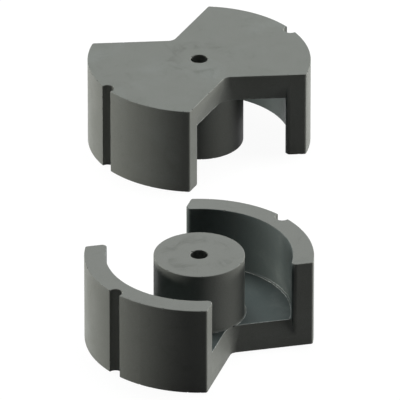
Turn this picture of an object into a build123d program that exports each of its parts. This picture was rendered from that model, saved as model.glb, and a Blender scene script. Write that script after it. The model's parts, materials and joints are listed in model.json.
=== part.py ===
"""Two-piece round power ferrite core for a transformer, with its halves set down apart.

Each half is one pressed and sintered piece: a round plate with a V notch on two sides, a bored
centre post, and two curved walls on the rim, each with a round-bottomed groove down its back.
The lower half lies on its back at the origin, its post along +Z and its walls along X. The upper
half is the same piece turned over, standing on its post and wall ends beyond the lower half.
The core closes when the upper half's post and wall ends are set down on the lower half's.
"""
from build123d import *
import os
from math import cos, radians, sin

# Round outline and heights of one half, in millimetres
outer_radius = 36.25  # rim of the plate, and the backs of both curved walls
half_height = 29.5  # back face to mating face
plate_thickness = 9.1
wall_thickness = 6.75
post_radius = 14.4
post_bore_radius = 2.8  # runs through post and plate
root_radius = 0.5  # where post and walls rise from the plate

# V notches, which let the winding's leads out
notch_clearance = 0.7  # from the post's side to the corner where the two notch faces would meet
notch_angle = 120.0
notch_corner_radius = 3.0
notch_corner_growth = 2.9  # added to that radius for each mm of lean, so the bevel clears the post
notch_land = 3.4  # upright part of a notch face, from the back face
notch_bevel = 1.4  # how far the plate's edge leans back above the land
wall_end_inner_radius = 1.5  # upright edge of a wall end, next to the winding space
wall_end_outer_radius = 0.8  # upright edge of a wall end, at the rim

# Grooves down the backs of the walls, for the clip that holds a closed core together
groove_width = 4.4
groove_depth = 2.65

# Where the upper half stands, seen from above
pair_gap = 57.0  # clear floor between the two rims
pair_bearing = 47.2  # degrees from +X, from the lower half's axis to the upper half's
upper_half_turn = -8.75  # degrees about its own post

overrun = 1.0  # how far a cut runs past the face it opens

# Worked out from the sizes above
wall_inner_radius = outer_radius - wall_thickness  # outside of the winding space
notch_apex = post_radius + notch_clearance
half_notch = radians(notch_angle / 2)
pair_distance = 2 * outer_radius + pair_gap
upper_half_x = pair_distance * cos(radians(pair_bearing))
upper_half_y = pair_distance * sin(radians(pair_bearing))


def draw_notch(setback):
    """Draw the notch on the -Y side, with its faces moved back into the plate by setback."""
    apex = setback / sin(half_notch) - notch_apex
    reach = 2 * outer_radius
    side, drop = reach * sin(half_notch), reach * cos(half_notch)
    notch = Polygon((0, apex), (side, apex - drop), (-side, apex - drop), align=None)
    corner_radius = notch_corner_radius + notch_corner_growth * setback
    fillet(notch.vertices().sort_by(Axis.Y)[-1], corner_radius)


def rim_corners(plan):
    """Pick the corners where a round outline meets the notch faces."""
    return plan.vertices().group_by(SortBy.DISTANCE)[0].filter_by(lambda v: abs(v.Y) > post_radius)


# One notch, seen from above; the other is the same, half a turn round
with BuildSketch() as notch_plan:
    draw_notch(0)

# The winding space, seen from above: it opens into both notches, past rounded wall ends
with BuildSketch() as space_plan:
    Circle(wall_inner_radius)
    with PolarLocations(0, 2):
        add(notch_plan.sketch)
    fillet(rim_corners(space_plan), wall_end_inner_radius)
    Circle(post_radius, mode=Mode.SUBTRACT)

# The winding space above the plate, with a small radius round its floor
with BuildPart() as winding_space:
    with BuildSketch(Plane.XY.offset(plate_thickness)):
        add(space_plan.sketch)
    extrude(amount=half_height - plate_thickness + overrun)
    fillet(winding_space.faces().sort_by(Axis.Z)[0].edges(), root_radius)

# What the bevel takes off the plate's edge in one notch. It starts in the notch's own space, below
# the land's edge, and runs up to the top of the root radius.
with BuildPart() as bevel_cut:
    for height in (notch_land - overrun, plate_thickness + root_radius):
        with BuildSketch(Plane.XY.offset(height)):
            draw_notch(notch_bevel * (height - notch_land) / (plate_thickness - notch_land))
    loft(ruled=True)
    with BuildSketch(Plane.XY.offset(notch_land - overrun)):
        add(space_plan.sketch)
    extrude(amount=plate_thickness + root_radius - notch_land + overrun, mode=Mode.INTERSECT)

# One half, lying on its back
with BuildPart() as core_half:
    with BuildSketch() as outline:
        Circle(outer_radius)
        with PolarLocations(0, 2):
            add(notch_plan.sketch, mode=Mode.SUBTRACT)
        rim = outline.vertices().group_by(SortBy.DISTANCE)[-1]
        fillet(rim.filter_by(lambda v: abs(v.Y) > post_radius), wall_end_outer_radius)
        with PolarLocations(outer_radius - groove_depth + groove_width / 2, 2):
            Circle(groove_width / 2, mode=Mode.SUBTRACT)
            Rectangle(groove_depth, groove_width, align=(Align.MIN, Align.CENTER), mode=Mode.SUBTRACT)
    extrude(amount=half_height)
    add(winding_space.part, mode=Mode.SUBTRACT)
    with PolarLocations(0, 2):
        add(bevel_cut.part, mode=Mode.SUBTRACT)
    Hole(post_bore_radius)

with BuildPart() as lower_half:
    add(core_half.part)

# Turned over about X, so that its back face is on top
with BuildPart() as upper_half:
    with Locations(Location((upper_half_x, upper_half_y, half_height), (180, 0, -upper_half_turn))):
        add(core_half.part)

os.makedirs("parts", exist_ok=True)
lower_half.part.label = "lower_half"
export_step(lower_half.part, "parts/lower_half.step")
upper_half.part.label = "upper_half"
export_step(upper_half.part, "parts/upper_half.step")
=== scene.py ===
"""Looks of a two-piece round power ferrite core, with its halves set down apart.

The lower half lies on its back and shows its winding space, its post and its ground mating faces.
The upper half stands on its mating faces beyond it and shows its back. Each half is one pressed and
sintered piece: its edges are slightly rounded and have small chips, and the punch that formed the
winding space has left a fine line of flash round its floor, which is coloured pale as a painted
highlight. The walls and floor of the winding space are coloured darker as painted shade.
"""

import json
import logging
from dataclasses import dataclass, field
from enum import Enum
from math import cos, pi, radians, sin
from typing import Any

import bmesh
import bpy
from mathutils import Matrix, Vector


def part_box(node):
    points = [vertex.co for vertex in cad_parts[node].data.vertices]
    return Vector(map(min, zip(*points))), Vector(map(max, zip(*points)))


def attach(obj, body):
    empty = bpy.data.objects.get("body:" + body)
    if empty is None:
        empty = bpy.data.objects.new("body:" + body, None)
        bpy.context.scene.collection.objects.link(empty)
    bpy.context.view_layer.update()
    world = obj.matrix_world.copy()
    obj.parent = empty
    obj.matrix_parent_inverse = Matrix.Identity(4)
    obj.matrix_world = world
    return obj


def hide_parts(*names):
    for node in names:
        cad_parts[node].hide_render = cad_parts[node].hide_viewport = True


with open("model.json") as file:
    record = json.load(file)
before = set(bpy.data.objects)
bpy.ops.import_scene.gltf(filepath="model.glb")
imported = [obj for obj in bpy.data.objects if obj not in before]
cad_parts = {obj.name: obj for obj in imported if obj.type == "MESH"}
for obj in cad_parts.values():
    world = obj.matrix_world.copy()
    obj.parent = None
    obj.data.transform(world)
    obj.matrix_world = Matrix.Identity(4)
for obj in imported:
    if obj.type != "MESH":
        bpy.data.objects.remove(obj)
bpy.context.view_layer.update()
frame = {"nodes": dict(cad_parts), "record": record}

MM = 0.001
ROOT_BODY = "root"

Colour = tuple[float, float, float]
Span = tuple[float, float]

logging.basicConfig(level=logging.INFO, format="%(name)s: %(message)s")
log = logging.getLogger("ferrite_core")


class MatingSide(Enum):
    """Which way a half's ground mating faces look, as the sign of their normal's Z."""

    UP = 1
    DOWN = -1


class FaceMark(Enum):
    """Face attributes that tell a finish how each face of a half was made, and where the winding space gets
    its painted shade.
    """

    GROUND = "ground"
    PUNCHED_AND_SHADED = "punched_and_shaded"


class NodeGraph:
    """Adds nodes to one tree and links them."""

    def __init__(self, tree: bpy.types.NodeTree) -> None:
        """Start from an empty tree."""
        self.tree = tree
        tree.nodes.clear()

    def add(self, kind: str, inputs: dict[Any, Any] | None = None, **settings: Any) -> bpy.types.Node:
        """Add one node.

        Args:
            kind: The node's type.
            inputs: What goes into its sockets, by name or number: another node's socket, or a value.
            settings: The node's own properties.

        Returns:
            The new node.
        """
        node = self.tree.nodes.new(kind)
        for name, value in settings.items():
            setattr(node, name, value)
        for key, value in (inputs or {}).items():
            if isinstance(value, bpy.types.NodeSocket):
                self.tree.links.new(value, node.inputs[key])
            else:
                node.inputs[key].default_value = value
        return node

    def math(self, operation: str, *values: Any, clamp: bool = False) -> bpy.types.NodeSocket:
        """Work out one number.

        Args:
            operation: The Math node's operation.
            values: Its inputs, as sockets or numbers.
            clamp: Whether the result is kept from 0 to 1.

        Returns:
            The socket that holds the result.
        """
        node = self.add("ShaderNodeMath", dict(enumerate(values)), operation=operation)
        node.use_clamp = clamp
        return node.outputs[0]

    def remap(self, value: Any, span: Span, result: Span) -> bpy.types.NodeSocket:
        """Carry a number smoothly from one range to another.

        Args:
            value: The socket to read.
            span: The values that give the ends of the result.
            result: The results at those values.

        Returns:
            The socket that holds the result.
        """
        ranges = {1: span[0], 2: span[1], 3: result[0], 4: result[1]}
        node = self.add("ShaderNodeMapRange", {0: value, **ranges}, interpolation_type="SMOOTHSTEP")
        return node.outputs[0]

    def noise(self, vector: Any, size: float, **inputs: float) -> bpy.types.NodeSocket:
        """Add noise whose blotches are about one size across.

        Args:
            vector: The coordinates, in metres.
            size: The blotches' size, in metres.
            inputs: The Noise node's other inputs, by name.

        Returns:
            The noise's factor, around a half.
        """
        named = {name.capitalize(): value for name, value in inputs.items()}
        return self.add("ShaderNodeTexNoise", {"Vector": vector, "Scale": 1 / size, **named}).outputs[0]

    def mix(self, factor: Any, first: Any, second: Any, blend: str = "MIX") -> bpy.types.NodeSocket:
        """Mix two colours.

        Args:
            factor: How much of the second colour shows.
            first: The colour underneath.
            second: The colour on top.
            blend: How they mix.

        Returns:
            The mixed colour.
        """
        node = self.add("ShaderNodeMix", {0: factor, 6: first, 7: second}, data_type="RGBA", blend_type=blend)
        return node.outputs[2]


def opaque(colour: Colour) -> tuple[float, float, float, float]:
    """Give a colour its full alpha."""
    return (*colour, 1.0)


def new_material(name: str) -> tuple[bpy.types.Material, NodeGraph]:
    """Make a material with an empty node tree.

    Args:
        name: The material's name.

    Returns:
        The material and the graph that fills it.
    """
    material = bpy.data.materials.new(name)
    material.use_nodes = True
    return material, NodeGraph(material.node_tree)


def new_object(name: str, mesh: bpy.types.Mesh) -> bpy.types.Object:
    """Put a mesh into the scene as an object at the origin."""
    piece = bpy.data.objects.new(name, mesh)
    bpy.context.scene.collection.objects.link(piece)
    return piece


def evaluated_mesh(piece: bpy.types.Object, name: str) -> bpy.types.Mesh:
    """Turn an object with its modifiers into a plain mesh.

    Args:
        piece: The object, which keeps its modifiers.
        name: The new mesh's name.

    Returns:
        The mesh that the modifiers make.
    """
    graph = bpy.context.evaluated_depsgraph_get()
    mesh = bpy.data.meshes.new_from_object(piece.evaluated_get(graph), depsgraph=graph)
    mesh.name = name
    return mesh


@dataclass(frozen=True)
class PressedFerriteFinish:
    """Dark grey sintered ferrite: satin, smoky and fine-grained, with ground faces, and faces that the punch
    formed, which are coloured darker and bluish as painted shade of the winding space.
    """

    skin: Colour = (0.205, 0.212, 0.203)
    ground: Colour = (0.225, 0.230, 0.222)
    # painted shade of the winding space: its walls and floor are coloured darker, with a bluish tint that
    # stands in for a reflection
    punched_and_shaded: Colour = (0.092, 0.111, 0.112)
    soot: Colour = (0.120, 0.124, 0.116)
    bloom: Colour = (0.262, 0.280, 0.278)
    roughness: float = 0.50
    ground_roughness: float = 0.46
    punched_roughness: float = 0.40
    roughness_swing: Span = (-0.05, 0.06)
    specular: float = 0.15
    diffuse_roughness: float = 0.35
    smoke_size: float = 26 * MM
    wisp_size: float = 7 * MM
    speck_size: float = 0.9 * MM
    grain_size: float = 0.22 * MM
    grain_depth: float = 0.018 * MM
    grain_strength: float = 0.55
    grain_shade: Span = (0.90, 1.10)
    smoke_span: Span = (0.52, 0.78)
    smoke_share: float = 0.45
    wisp_span: Span = (0.52, 0.82)
    wisp_share: float = 0.32
    speck_span: Span = (0.62, 0.80)
    speck_share: float = 0.35
    stain_inner: float = 5.5 * MM
    stain_outer: float = 13.0 * MM
    stain_span: Span = (0.42, 0.72)
    stain_share: float = 0.55
    grinding_pitch: float = 0.35 * MM
    grinding_turn: float = radians(24)
    grinding_stretch: float = 0.02

    def build(self, name: str, axis: Vector) -> bpy.types.Material:
        """Build the finish for one half.

        Args:
            name: The material's name.
            axis: A point on the half's bore axis, which the stain round the bore is centred on.

        Returns:
            The material.
        """
        material, graph = new_material(name)
        place = graph.add("ShaderNodeTexCoord").outputs["Object"]
        ground = graph.add("ShaderNodeAttribute", attribute_name=FaceMark.GROUND.value).outputs["Fac"]
        # this mark also says where the painted shade of the winding space goes
        punched_and_shaded = graph.add("ShaderNodeAttribute", attribute_name=FaceMark.PUNCHED_AND_SHADED.value).outputs["Fac"]
        grain = graph.noise(place, self.grain_size, detail=2.0, roughness=0.6)
        colour = self._colour(graph, place, ground, punched_and_shaded, grain, axis)
        roughness = self._roughness(graph, place, ground, punched_and_shaded)
        height = self._height(graph, place, ground, grain)
        relief = {"Strength": self.grain_strength, "Distance": self.grain_depth, "Height": height}
        bump = graph.add("ShaderNodeBump", relief)
        surface = {"Base Color": colour, "Roughness": roughness, "Normal": bump.outputs[0]}
        fixed = {"Specular IOR Level": self.specular, "Diffuse Roughness": self.diffuse_roughness}
        shader = graph.add("ShaderNodeBsdfPrincipled", {**surface, **fixed})
        graph.add("ShaderNodeOutputMaterial", {"Surface": shader.outputs[0]})
        return material

    def _colour(
        self, graph: NodeGraph, place: Any, ground: Any, punched_and_shaded: Any, grain: Any, axis: Vector
    ) -> bpy.types.NodeSocket:
        """Colour the skin, with smoke, wisps, specks, grain, the stain round the bore and the painted shade
        of the winding space.

        Args:
            graph: The material's graph.
            place: Object coordinates.
            ground: How much a face is ground.
            punched_and_shaded: How much a face is part of the winding space, which is coloured darker there
                as painted shade.
            grain: The grain's noise.
            axis: A point on the bore's axis.

        Returns:
            The colour.
        """
        smoke = graph.noise(place, self.smoke_size, detail=5.0, roughness=0.55, distortion=0.6)
        wisp = graph.noise(place, self.wisp_size, detail=6.0, roughness=0.65, distortion=1.2)
        speck = graph.noise(place, self.speck_size, detail=3.0, roughness=0.7)
        skin = graph.mix(ground, opaque(self.skin), opaque(self.ground))
        # painted shade: the winding space's walls and floor take a darker, bluish colour in place of the
        # shade and reflection there
        skin = graph.mix(punched_and_shaded, skin, opaque(self.punched_and_shaded))
        smoky = graph.remap(smoke, self.smoke_span, (0.0, self.smoke_share))
        skin = graph.mix(smoky, skin, opaque(self.bloom))
        wispy = graph.remap(wisp, self.wisp_span, (0.0, self.wisp_share))
        skin = graph.mix(wispy, skin, opaque(self.soot))
        skin = graph.mix(self._stain(graph, place, wisp, axis), skin, opaque(self.soot))
        specked = graph.remap(speck, self.speck_span, (0.0, self.speck_share))
        skin = graph.mix(specked, skin, opaque(self.soot))
        shade = graph.remap(grain, (0.25, 0.75), self.grain_shade)
        grey = graph.add("ShaderNodeCombineColor", {0: shade, 1: shade, 2: shade}).outputs[0]
        return graph.mix(1.0, skin, grey, "MULTIPLY")

    def _stain(self, graph: NodeGraph, place: Any, wisp: Any, axis: Vector) -> Any:
        """Work out the faint broken ring that a clamping washer has left round the bore.

        Args:
            graph: The material's graph.
            place: Object coordinates.
            wisp: The noise that breaks the ring up.
            axis: A point on the bore's axis.

        Returns:
            How much the ring shows.
        """
        centred = graph.add("ShaderNodeMapping", {0: place, "Location": (-axis.x, -axis.y, 0)}).outputs[0]
        flat = graph.add("ShaderNodeVectorMath", {0: centred, 1: (1, 1, 0)}, operation="MULTIPLY").outputs[0]
        reach = graph.add("ShaderNodeVectorMath", {0: flat}, operation="LENGTH").outputs["Value"]
        middle = (self.stain_inner + self.stain_outer) / 2
        rise = graph.remap(reach, (self.stain_inner, middle), (0.0, 1.0))
        fall = graph.remap(reach, (middle, self.stain_outer), (1.0, 0.0))
        ring = graph.math("MULTIPLY", rise, fall)
        broken = graph.remap(wisp, self.stain_span, (0.0, self.stain_share))
        return graph.math("MULTIPLY", ring, broken)

    def _roughness(self, graph: NodeGraph, place: Any, ground: Any, punched_and_shaded: Any) -> Any:
        """Vary the satin, which is a little smoother where the face was ground or punched.

        Args:
            graph: The material's graph.
            place: Object coordinates.
            ground: How much a face is ground.
            punched_and_shaded: How much a face is part of the winding space.

        Returns:
            The roughness.
        """
        cloud = graph.noise(place, self.wisp_size, detail=3.0)
        vary = graph.remap(cloud, (0.3, 0.7), self.roughness_swing)
        to_ground = graph.math("MULTIPLY", ground, self.ground_roughness - self.roughness)
        to_punched = graph.math("MULTIPLY", punched_and_shaded, self.punched_roughness - self.roughness)
        base = graph.math("ADD", graph.math("ADD", to_ground, to_punched), self.roughness)
        return graph.math("ADD", base, vary, clamp=True)

    def _height(self, graph: NodeGraph, place: Any, ground: Any, grain: Any) -> Any:
        """Lay fine parallel grinding lines over the grain of the ground faces.

        Args:
            graph: The material's graph.
            place: Object coordinates.
            ground: How much a face is ground.
            grain: The grain's noise.

        Returns:
            The height.
        """
        inputs = {0: place, "Rotation": (0, 0, self.grinding_turn), "Scale": (self.grinding_stretch, 1, 1)}
        stretched = graph.add("ShaderNodeMapping", inputs).outputs[0]
        lines = graph.noise(stretched, self.grinding_pitch, detail=3.0)
        return graph.math("ADD", grain, graph.math("MULTIPLY", lines, ground))


@dataclass(frozen=True)
class FractureFinish:
    """The dark, rough surface of a fresh chip, whose faint glitter is painted into its colour as pale glints
    round the crystals' centres.
    """

    colour: Colour = (0.125, 0.130, 0.126)
    # painted glints: paler spots that stand in for the light the crystal facets catch
    glint: Colour = (0.30, 0.31, 0.31)
    roughness: float = 0.62
    crystal_size: float = 0.07 * MM
    crystal_depth: float = 0.02 * MM
    crystal_strength: float = 0.6
    glint_reach: float = 0.25
    glint_share: float = 0.8

    def build(self) -> bpy.types.Material:
        """Build the finish and return its material."""
        material, graph = new_material("chip_fracture")
        place = graph.add("ShaderNodeTexCoord").outputs["Object"]
        crystals = graph.add("ShaderNodeTexVoronoi", {"Vector": place, "Scale": 1 / self.crystal_size})
        # painted glints: the colour turns pale near each crystal's centre
        sparkle = graph.remap(crystals.outputs["Distance"], (0.0, self.glint_reach), (self.glint_share, 0.0))
        colour = graph.mix(sparkle, opaque(self.colour), opaque(self.glint))
        depth = {"Strength": self.crystal_strength, "Distance": self.crystal_depth}
        bump = graph.add("ShaderNodeBump", {**depth, "Height": crystals.outputs["Distance"]})
        surface = {"Base Color": colour, "Roughness": self.roughness, "Normal": bump.outputs[0]}
        shader = graph.add("ShaderNodeBsdfPrincipled", surface)
        graph.add("ShaderNodeOutputMaterial", {"Surface": shader.outputs[0]})
        return material


@dataclass(frozen=True)
class FlashAndHighlightFinish:
    """The fine flash round the floor of the winding space, whose broken pale patches are a painted highlight
    of the light that its thin ridge catches.
    """

    # painted highlight: the flash is coloured far paler than the ferrite, standing in for the light its thin
    # ridge catches
    painted_highlight: Colour = (0.42, 0.44, 0.435)
    dull: Colour = (0.17, 0.18, 0.18)
    roughness: float = 0.5
    patch_size: float = 2.4 * MM
    patch_span: Span = (0.38, 0.62)

    def build(self) -> bpy.types.Material:
        """Build the finish and return its material."""
        material, graph = new_material("press_flash_and_highlight")
        place = graph.add("ShaderNodeTexCoord").outputs["Object"]
        patches = graph.noise(place, self.patch_size, detail=4.0, roughness=0.6)
        paleness = graph.remap(patches, self.patch_span, (0.0, 1.0))
        # painted highlight, broken into patches along the flash
        colour = graph.mix(paleness, opaque(self.dull), opaque(self.painted_highlight))
        inputs = {"Base Color": colour, "Roughness": self.roughness}
        shader = graph.add("ShaderNodeBsdfPrincipled", inputs)
        graph.add("ShaderNodeOutputMaterial", {"Surface": shader.outputs[0]})
        return material


class GeometryTree:
    """A Geometry Nodes tree with named inputs, which is run once on a mesh."""

    def __init__(self, name: str, inputs: dict[str, Any]) -> None:
        """Open the tree.

        Args:
            name: The tree's name.
            inputs: Each named input's value: a float, an int or a material.
        """
        self.name = name
        self.values = inputs
        self.tree = bpy.data.node_groups.new(name, "GeometryNodeTree")
        self.graph = NodeGraph(self.tree)
        self.tree.interface.new_socket("Geometry", in_out="INPUT", socket_type="NodeSocketGeometry")
        self.tree.interface.new_socket("Geometry", in_out="OUTPUT", socket_type="NodeSocketGeometry")
        for label, value in inputs.items():
            self.tree.interface.new_socket(label, in_out="INPUT", socket_type=self._socket_type(value))
        self.inputs = self.graph.add("NodeGroupInput").outputs

    @staticmethod
    def _socket_type(value: Any) -> str:
        """Name the socket type that suits a value."""
        if isinstance(value, bpy.types.Material):
            return "NodeSocketMaterial"
        return "NodeSocketInt" if isinstance(value, int) else "NodeSocketFloat"

    def close(self, geometry: Any, material: Any) -> None:
        """End the tree with Realize Instances and Set Material.

        Args:
            geometry: The geometry to give out.
            material: The socket that holds its material.
        """
        real = self.graph.add("GeometryNodeRealizeInstances", {0: geometry}).outputs[0]
        dressed = self.graph.add("GeometryNodeSetMaterial", {0: real, "Material": material}).outputs[0]
        self.graph.add("NodeGroupOutput", {0: dressed})

    def run(self, mesh: bpy.types.Mesh) -> bpy.types.Mesh:
        """Run the tree on a mesh.

        Args:
            mesh: The mesh that goes in, which isn't changed.

        Returns:
            The plain mesh that comes out.
        """
        holder = new_object(self.name, mesh)
        modifier = holder.modifiers.new(self.name, "NODES")
        modifier.node_group = self.tree
        for item in self.tree.interface.items_tree:
            if item.in_out == "INPUT" and item.name in self.values:
                modifier[item.identifier] = self.values[item.name]
        result = evaluated_mesh(holder, self.name)
        bpy.data.objects.remove(holder)
        return result


@dataclass(frozen=True)
class EdgeChips:
    """Small flakes that have broken out of a half's sharp edges."""

    spacing: float = 4.0 * MM
    chance: float = 0.42
    smallest: float = 0.12 * MM
    largest: float = 0.46 * MM
    sharp_angle: float = radians(62)
    roughness: float = 0.35
    lump_waves: float = 1.7
    lump_subdivisions: int = 2
    seed: int = 11

    def cutters(self, edges_from: bpy.types.Mesh, material: bpy.types.Material) -> bpy.types.Mesh:
        """Scatter the lumps that the flakes are cut with.

        Args:
            edges_from: The mesh whose sharp edges have broken.
            material: The finish of the broken surface.

        Returns:
            The lumps, as one mesh.
        """
        sizes = {"Spacing": self.spacing, "Chance": self.chance, "Smallest": self.smallest}
        limits = {"Largest": self.largest, "Sharp Angle": self.sharp_angle, "Lump Roughness": self.roughness}
        lump = {"Lump Waves": self.lump_waves, "Lump Subdivisions": self.lump_subdivisions}
        last = {"Seed": self.seed, "Material": material}
        tree = GeometryTree("edge_chips", {**sizes, **limits, **lump, **last})
        graph, inputs = tree.graph, tree.inputs
        angle = graph.add("GeometryNodeInputMeshEdgeAngle").outputs["Unsigned Angle"]
        sharp = graph.math("GREATER_THAN", angle, inputs["Sharp Angle"])
        path = graph.add("GeometryNodeMeshToCurve", {0: inputs["Geometry"], "Selection": sharp}).outputs[0]
        spots = graph.add("GeometryNodeCurveToPoints", {0: path, "Length": inputs["Spacing"]}, mode="LENGTH")
        placed = graph.add("GeometryNodeInstanceOnPoints", {
            "Points": spots.outputs["Points"],
            "Selection": self._chosen(graph, inputs),
            "Instance": self._lump(graph, inputs),
            "Rotation": self._any_turn(graph, inputs),
            "Scale": self._any_size(graph, inputs),
        })
        tree.close(placed.outputs[0], inputs["Material"])
        return tree.run(edges_from)

    @staticmethod
    def _chosen(graph: NodeGraph, inputs: Any) -> Any:
        """Pick which of the spots along the edges have broken."""
        pick = {"Probability": inputs["Chance"], "Seed": inputs["Seed"]}
        return graph.add("FunctionNodeRandomValue", pick, data_type="BOOLEAN").outputs[3]

    @staticmethod
    def _any_turn(graph: NodeGraph, inputs: Any) -> Any:
        """Turn each lump its own way."""
        turn = {0: (0, 0, 0), 1: (2 * pi, 2 * pi, 2 * pi), "Seed": inputs["Seed"]}
        return graph.add("FunctionNodeRandomValue", turn, data_type="FLOAT_VECTOR").outputs[0]

    @staticmethod
    def _any_size(graph: NodeGraph, inputs: Any) -> Any:
        """Give each lump its own length, width and height."""
        low = graph.add("ShaderNodeCombineXYZ", {axis: inputs["Smallest"] for axis in range(3)}).outputs[0]
        high = graph.add("ShaderNodeCombineXYZ", {axis: inputs["Largest"] for axis in range(3)}).outputs[0]
        seed = graph.math("ADD", inputs["Seed"], 1)
        size = {0: low, 1: high, "Seed": seed}
        return graph.add("FunctionNodeRandomValue", size, data_type="FLOAT_VECTOR").outputs[0]

    @staticmethod
    def _lump(graph: NodeGraph, inputs: Any) -> Any:
        """Make one rough lump, a unit across its radius."""
        unit = {"Radius": 1.0, "Subdivisions": inputs["Lump Subdivisions"]}
        ball = graph.add("GeometryNodeMeshIcoSphere", unit).outputs[0]
        place = graph.add("GeometryNodeInputPosition").outputs[0]
        waves = {"Vector": place, "Scale": inputs["Lump Waves"]}
        noise = graph.add("ShaderNodeTexNoise", waves).outputs["Fac"]
        swell = graph.math("MULTIPLY", graph.math("SUBTRACT", noise, 0.5), inputs["Lump Roughness"])
        offset = {0: place, "Scale": swell}
        push = graph.add("ShaderNodeVectorMath", offset, operation="SCALE").outputs[0]
        return graph.add("GeometryNodeSetPosition", {0: ball, "Offset": push}).outputs[0]


@dataclass(frozen=True)
class PressFlash:
    """The fine uneven line of flash that the punch leaves round the floor of the winding space."""

    radius: float = 0.11 * MM
    sides: int = 6
    step: float = 0.6 * MM
    unevenness: float = 0.55
    patch_size: float = 1.8 * MM
    merge_distance: float = 0.002 * MM
    seed: int = 3

    def sweep(self, floors: bpy.types.Mesh, material: bpy.types.Material) -> bpy.types.Mesh:
        """Sweep a bead along the border of each floor.

        Args:
            floors: The floors of the winding space, as flat patches.
            material: The flash's finish, coloured pale as a painted highlight.

        Returns:
            The beads, as one mesh.
        """
        sizes = {"Radius": self.radius, "Sides": self.sides, "Step": self.step, "Unevenness": self.unevenness}
        joins = {"Patch Size": self.patch_size, "Merge Distance": self.merge_distance}
        tree = GeometryTree("press_flash_and_highlight", {**sizes, **joins, "Seed": self.seed, "Material": material})
        graph, inputs = tree.graph, tree.inputs
        faces = graph.add("GeometryNodeInputMeshEdgeNeighbors").outputs[0]
        border = graph.math("COMPARE", faces, 1, 0.1)
        path = graph.add("GeometryNodeMeshToCurve", {0: inputs["Geometry"], "Selection": border}).outputs[0]
        even = {0: path, "Length": inputs["Step"]}
        path = graph.add("GeometryNodeResampleCurve", even, mode="LENGTH").outputs[0]
        ring = {"Resolution": inputs["Sides"], "Radius": inputs["Radius"]}
        section = graph.add("GeometryNodeCurvePrimitiveCircle", ring)
        swept = {"Curve": path, "Profile Curve": section.outputs[0], "Scale": self._swell(graph, inputs)}
        bead = graph.add("GeometryNodeCurveToMesh", {**swept, "Fill Caps": True}).outputs[0]
        whole = {0: bead, "Distance": inputs["Merge Distance"]}
        bead = graph.add("GeometryNodeMergeByDistance", whole).outputs[0]
        bead = graph.add("GeometryNodeSetShadeSmooth", {0: bead}).outputs[0]
        tree.close(bead, inputs["Material"])
        return tree.run(floors)

    @staticmethod
    def _swell(graph: NodeGraph, inputs: Any) -> Any:
        """Thicken and thin the bead along its way."""
        shift = graph.add("ShaderNodeCombineXYZ", {2: inputs["Seed"]}).outputs[0]
        place = graph.add("GeometryNodeInputPosition").outputs[0]
        scale = graph.math("DIVIDE", 1.0, inputs["Patch Size"])
        patches = graph.add("ShaderNodeVectorMath", {0: place, "Scale": scale}, operation="SCALE").outputs[0]
        moved = graph.add("ShaderNodeVectorMath", {0: patches, 1: shift}, operation="ADD").outputs[0]
        noise = graph.add("ShaderNodeTexNoise", {"Vector": moved, "Scale": 1.0}).outputs["Fac"]
        swing = graph.math("MULTIPLY", graph.math("SUBTRACT", noise, 0.5), 2.0)
        return graph.math("MULTIPLY_ADD", swing, inputs["Unevenness"], 1.0)


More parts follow.
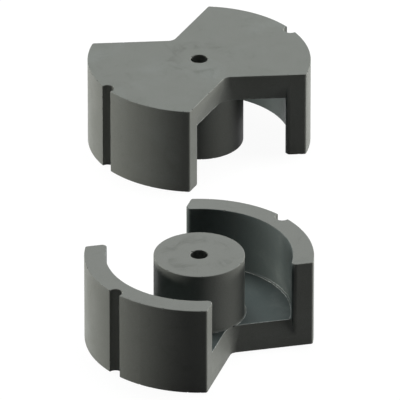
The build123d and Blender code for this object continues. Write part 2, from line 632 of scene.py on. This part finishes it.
@dataclass
class CoreHalf:
    """One half of the core, read from its CAD node, with its edges rounded and chipped."""

    node: str
    mating_side: MatingSide
    bore_mount: str
    post_mount: str
    chips: EdgeChips = field(default_factory=EdgeChips)
    flash_and_highlight: PressFlash = field(default_factory=PressFlash)
    edge_radius: float = 0.22 * MM
    edge_segments: int = 3
    edge_angle: float = radians(55)
    root_clearance: float = 0.6 * MM
    merge_distance: float = 0.001 * MM
    flat_angle: float = radians(0.05)
    smooth_angle: float = radians(42)
    normal_weight: int = 80
    level_tolerance: float = 0.02 * MM
    level_cosine: float = 0.999
    inward_cosine: float = 0.3

    def __post_init__(self) -> None:
        """Read the half's heights and axis from the frame."""
        mounts = {mount["name"]: mount for mount in frame["record"]["mounts"]}
        low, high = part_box(self.node)
        self.axis = Vector(mounts[self.bore_mount]["pos_m"])
        self.post_radius = mounts[self.post_mount]["dims"]["r_mm"] * MM
        self.mating_height = high.z if self.mating_side is MatingSide.UP else low.z
        self.floor_height = self._find_floor()

    def _find_floor(self) -> float:
        """Find the height of the winding space's floor, the largest level face below the mating faces."""
        areas: dict[float, float] = {}
        for face in frame["nodes"][self.node].data.polygons:
            below = abs(face.center.z - self.mating_height) > self.level_tolerance
            if below and self.mating_side.value * face.normal.z > self.level_cosine:
                height = round(face.center.z, 6)
                areas[height] = areas.get(height, 0.0) + face.area
        return max(areas, key=areas.get)

    def build(self, finishes: "Finishes") -> list[bpy.types.Object]:
        """Build the half and its flash, and let them stand for the CAD node.

        Args:
            finishes: The finishes that the pieces share.

        Returns:
            The pieces.
        """
        merged = self._merged_copy()
        body = self._dressed_body(merged, finishes)
        flash_and_highlight = self._flash_line(merged, finishes)
        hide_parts(self.node)
        for piece in (body, flash_and_highlight):
            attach(piece, ROOT_BODY)
            log.info("%s: %d faces", piece.name, len(piece.data.polygons))
        return [body, flash_and_highlight]

    def _merged_copy(self) -> bpy.types.Mesh:
        """Copy the CAD node's mesh, closed and with its flat triangles joined into whole faces."""
        shell = bmesh.new()
        shell.from_mesh(frame["nodes"][self.node].data)
        bmesh.ops.remove_doubles(shell, verts=shell.verts, dist=self.merge_distance)
        bmesh.ops.dissolve_limit(shell, angle_limit=self.flat_angle, verts=shell.verts, edges=shell.edges)
        shell.verts.index_update()
        corners = [vert.co.copy() for vert in shell.verts]
        faces = [[vert.index for vert in face.verts] for face in shell.faces]
        shell.free()
        mesh = bpy.data.meshes.new(f"{self.node}_merged")
        mesh.from_pydata(corners, [], faces)
        return mesh

    def _weigh_edges(self, mesh: bpy.types.Mesh) -> None:
        """Weigh the sharp edges that are rounded, which leaves out those beside the root radius.

        Args:
            mesh: The merged copy, which gets the edges' bevel weights.
        """
        shell = bmesh.new()
        shell.from_mesh(mesh)
        weights = shell.edges.layers.float.new("bevel_weight_edge")
        for edge in shell.edges:
            clear = all(abs(vert.co.z - self.floor_height) > self.root_clearance for vert in edge.verts)
            edge[weights] = float(clear and edge.calc_face_angle() > self.edge_angle)
        shell.to_mesh(mesh)
        shell.free()

    def _dressed_body(self, merged: bpy.types.Mesh, finishes: "Finishes") -> bpy.types.Object:
        """Round and chip the edges of the half, and give it its finish.

        Args:
            merged: The merged copy of the CAD node.
            finishes: The finishes that the pieces share.

        Returns:
            The finished body.
        """
        self._weigh_edges(merged)
        holder = new_object(f"{self.node}_holder", merged)
        cutters = new_object(f"{self.node}_cutters", self.chips.cutters(merged, finishes.fracture))
        bevel = holder.modifiers.new("rounded_edges", "BEVEL")
        bevel.width = self.edge_radius
        bevel.segments = self.edge_segments
        bevel.limit_method = "WEIGHT"
        bevel.use_clamp_overlap = False
        chip = holder.modifiers.new("edge_chips", "BOOLEAN")
        chip.operation = "DIFFERENCE"
        chip.solver = "EXACT"
        chip.use_self = True
        chip.object = cutters
        chip.material_mode = "TRANSFER"
        holder.data.materials.append(finishes.ferrite(self))
        mesh = evaluated_mesh(holder, f"{self.node}_body")
        for spare in (holder, cutters):
            bpy.data.objects.remove(spare)
        self._mark_faces(mesh)
        mesh.shade_smooth()
        mesh.set_sharp_from_angle(angle=self.smooth_angle)
        body = new_object(f"{self.node}_body", mesh)
        self._weight_normals(body)
        return body

    def _weight_normals(self, body: bpy.types.Object) -> None:
        """Let the large faces keep their own normals beside the rounded edges."""
        weighted = body.modifiers.new("weighted_normals", "WEIGHTED_NORMAL")
        weighted.mode = "FACE_AREA"
        weighted.weight = self.normal_weight
        weighted.keep_sharp = True
        mesh = evaluated_mesh(body, body.name)
        body.modifiers.clear()
        body.data = mesh

    def _mark_faces(self, mesh: bpy.types.Mesh) -> None:
        """Mark each face that was ground, and each that the punch formed, which the finish also colours
        darker as painted shade of the winding space.

        Args:
            mesh: The half's mesh, which gets the face attributes.
        """
        up = self.mating_side.value
        ground = mesh.attributes.new(FaceMark.GROUND.value, "FLOAT", "FACE")
        punched_and_shaded = mesh.attributes.new(FaceMark.PUNCHED_AND_SHADED.value, "FLOAT", "FACE")
        for face in mesh.polygons:
            above_floor = up * (face.center.z - self.floor_height)
            level = abs(face.center.z - self.mating_height) < self.level_tolerance
            outward = Vector((face.center.x - self.axis.x, face.center.y - self.axis.y, 0))
            inward = outward.normalized().dot(face.normal) < -self.inward_cosine
            inner = above_floor > -self.level_tolerance and inward
            on_floor = abs(above_floor) < self.level_tolerance
            ground.data[face.index].value = float(level)
            # the faces that the punch formed also get the painted shade of the winding space
            punched_and_shaded.data[face.index].value = float((inner or on_floor) and outward.length > self.post_radius)

    def _flash_line(self, merged: bpy.types.Mesh, finishes: "Finishes") -> bpy.types.Object:
        """Sweep the flash round the floor of the winding space, whose pale finish is a painted highlight.

        Args:
            merged: The merged copy of the CAD node.
            finishes: The finishes that the pieces share.

        Returns:
            The flash.
        """
        patch = bmesh.new()
        patch.from_mesh(merged)
        others = [face for face in patch.faces if not self._is_floor(face)]
        bmesh.ops.delete(patch, geom=others, context="FACES")
        floors = bpy.data.meshes.new(f"{self.node}_floors")
        patch.to_mesh(floors)
        patch.free()
        return new_object(f"{self.node}_flash", self.flash_and_highlight.sweep(floors, finishes.flash_and_highlight))

    def _is_floor(self, face: bmesh.types.BMFace) -> bool:
        """Tell whether a face is part of the winding space's floor."""
        level = abs(face.calc_center_median().z - self.floor_height) < self.level_tolerance
        return level and self.mating_side.value * face.normal.z > self.level_cosine


@dataclass
class Finishes:
    """The finishes that the pieces share."""

    pressed: PressedFerriteFinish = field(default_factory=PressedFerriteFinish)

    def __post_init__(self) -> None:
        """Build the finishes that both halves use."""
        self.fracture = FractureFinish().build()
        self.flash_and_highlight = FlashAndHighlightFinish().build()

    def ferrite(self, half: CoreHalf) -> bpy.types.Material:
        """Build the ferrite of one half, whose stain is centred on its bore."""
        return self.pressed.build(f"{half.node}_ferrite", half.axis)


@dataclass(frozen=True)
class CameraView:
    """The camera, which stands far off with a long lens."""

    azimuth: float = -42.8
    elevation: float = 29.1
    distance: float = 3.859
    lens: float = 1076.6
    sensor: float = 36.0
    target: tuple[float, float, float] = (60.16 * MM, 64.56 * MM, 0.0)

    def towards_camera(self, to_the_right: float = 0.0, elevation: float | None = None) -> Vector:
        """Give a direction from the target.

        Args:
            to_the_right: Degrees round to the right of the camera, as the camera sees it.
            elevation: Degrees above the floor; the camera's own where none is given.

        Returns:
            The direction, one unit long.
        """
        turn = radians(self.azimuth + to_the_right)
        rise = radians(self.elevation if elevation is None else elevation)
        return Vector((sin(turn) * cos(rise), -cos(turn) * cos(rise), sin(rise)))

    def build(self) -> bpy.types.Object:
        """Build the camera and make it the scene's own."""
        camera = bpy.data.objects.new("camera", bpy.data.cameras.new("camera"))
        bpy.context.scene.collection.objects.link(camera)
        camera.data.lens = self.lens
        camera.data.sensor_width = self.sensor
        back = self.towards_camera()
        camera.location = Vector(self.target) + back * self.distance
        camera.rotation_euler = back.to_track_quat("Z", "Y").to_euler()
        bpy.context.scene.camera = camera
        return camera


@dataclass(frozen=True)
class SoftPanel:
    """A large soft lamp that faces the object."""

    name: str
    to_the_right: float
    elevation: float
    level: float
    width: float
    height: float
    colour: Colour
    distance: float = 1.5

    def build(self, view: CameraView) -> bpy.types.Object:
        """Build the lamp.

        Args:
            view: The camera's view, which the lamp's bearing is counted from.

        Returns:
            The lamp.
        """
        lamp = bpy.data.lights.new(self.name, "AREA")
        lamp.shape = "RECTANGLE"
        lamp.size = self.width
        lamp.size_y = self.height
        lamp.color = self.colour
        lamp.energy = self.level * (pi * self.distance) ** 2
        panel = bpy.data.objects.new(self.name, lamp)
        bpy.context.scene.collection.objects.link(panel)
        back = view.towards_camera(self.to_the_right, self.elevation)
        panel.location = Vector(view.target) + back * self.distance
        panel.rotation_euler = back.to_track_quat("Z", "Y").to_euler()
        panel.visible_camera = False
        return panel


@dataclass(frozen=True)
class Studio:
    """A plain white sweep, which lights the object little, and the soft panels round it."""

    floor_radius: float = 3.0
    floor_sides: int = 96
    floor_shade: float = 0.08
    floor_glow: float = 0.95
    surround: float = 0.0
    panels: tuple[SoftPanel, ...] = (
        SoftPanel("left_panel", -100, 4, level=1.36, width=0.7, height=0.3, colour=(1.0, 1.0, 0.91)),
        SoftPanel("right_panel", 111, 7, level=1.75, width=1.8, height=0.3, colour=(1.0, 1.0, 0.93)),
        SoftPanel("top_panel", 180, 74, level=1.02, width=1.2, height=0.9, colour=(0.96, 1.0, 0.965)),
    )

    def build(self, view: CameraView) -> None:
        """Build the floor, the surroundings and the panels.

        Args:
            view: The camera's view, which the panels' bearings are counted from.
        """
        self._floor()
        self._surroundings()
        for panel in self.panels:
            panel.build(view)
            log.info("%s at %g degrees, level %g", panel.name, panel.to_the_right, panel.level)

    @staticmethod
    def _seen_directly(graph: NodeGraph) -> Any:
        """Give 1 for what the camera sees itself, in gloss or through glass, and 0 for other light."""
        rays = graph.add("ShaderNodeLightPath").outputs
        gloss = graph.math("MAXIMUM", rays["Is Glossy Ray"], rays["Is Transmission Ray"])
        return graph.math("MAXIMUM", rays["Is Camera Ray"], gloss)

    def _floor(self) -> None:
        """Build the floor, which shows white and still takes the object's shadow."""
        disc = bmesh.new()
        bmesh.ops.create_circle(disc, cap_ends=True, segments=self.floor_sides, radius=self.floor_radius)
        mesh = bpy.data.meshes.new("floor")
        disc.to_mesh(mesh)
        disc.free()
        material, graph = new_material("floor_sweep")
        matt = graph.add("ShaderNodeBsdfDiffuse", {"Color": opaque((self.floor_shade,) * 3)}).outputs[0]
        glow = graph.math("MULTIPLY", self._seen_directly(graph), self.floor_glow)
        white = graph.add("ShaderNodeEmission", {"Strength": glow}).outputs[0]
        both = graph.add("ShaderNodeAddShader", {0: matt, 1: white}).outputs[0]
        graph.add("ShaderNodeOutputMaterial", {"Surface": both})
        mesh.materials.append(material)
        new_object("floor", mesh)

    def _surroundings(self) -> None:
        """Build the world, which shows white and lights the object only faintly."""
        world = bpy.data.worlds.new("surroundings")
        world.use_nodes = True
        graph = NodeGraph(world.node_tree)
        strength = graph.remap(self._seen_directly(graph), (0.0, 1.0), (self.surround, 1.0))
        light = graph.add("ShaderNodeBackground", {"Strength": strength, "Color": opaque((1.0, 1.0, 1.0))})
        graph.add("ShaderNodeOutputWorld", {"Surface": light.outputs[0]})
        bpy.context.scene.world = world


def main() -> None:
    """Build the halves, the studio and the camera."""
    finishes = Finishes()
    halves = (
        CoreHalf("lower_half", MatingSide.UP, "lower_bore", "lower_post"),
        CoreHalf("upper_half", MatingSide.DOWN, "upper_bore", "upper_post"),
    )
    for half in halves:
        half.build(finishes)
    view = CameraView()
    view.build()
    Studio().build(view)
    bpy.context.scene.view_settings.view_transform = "Standard"


if __name__ == "__main__":
    main()
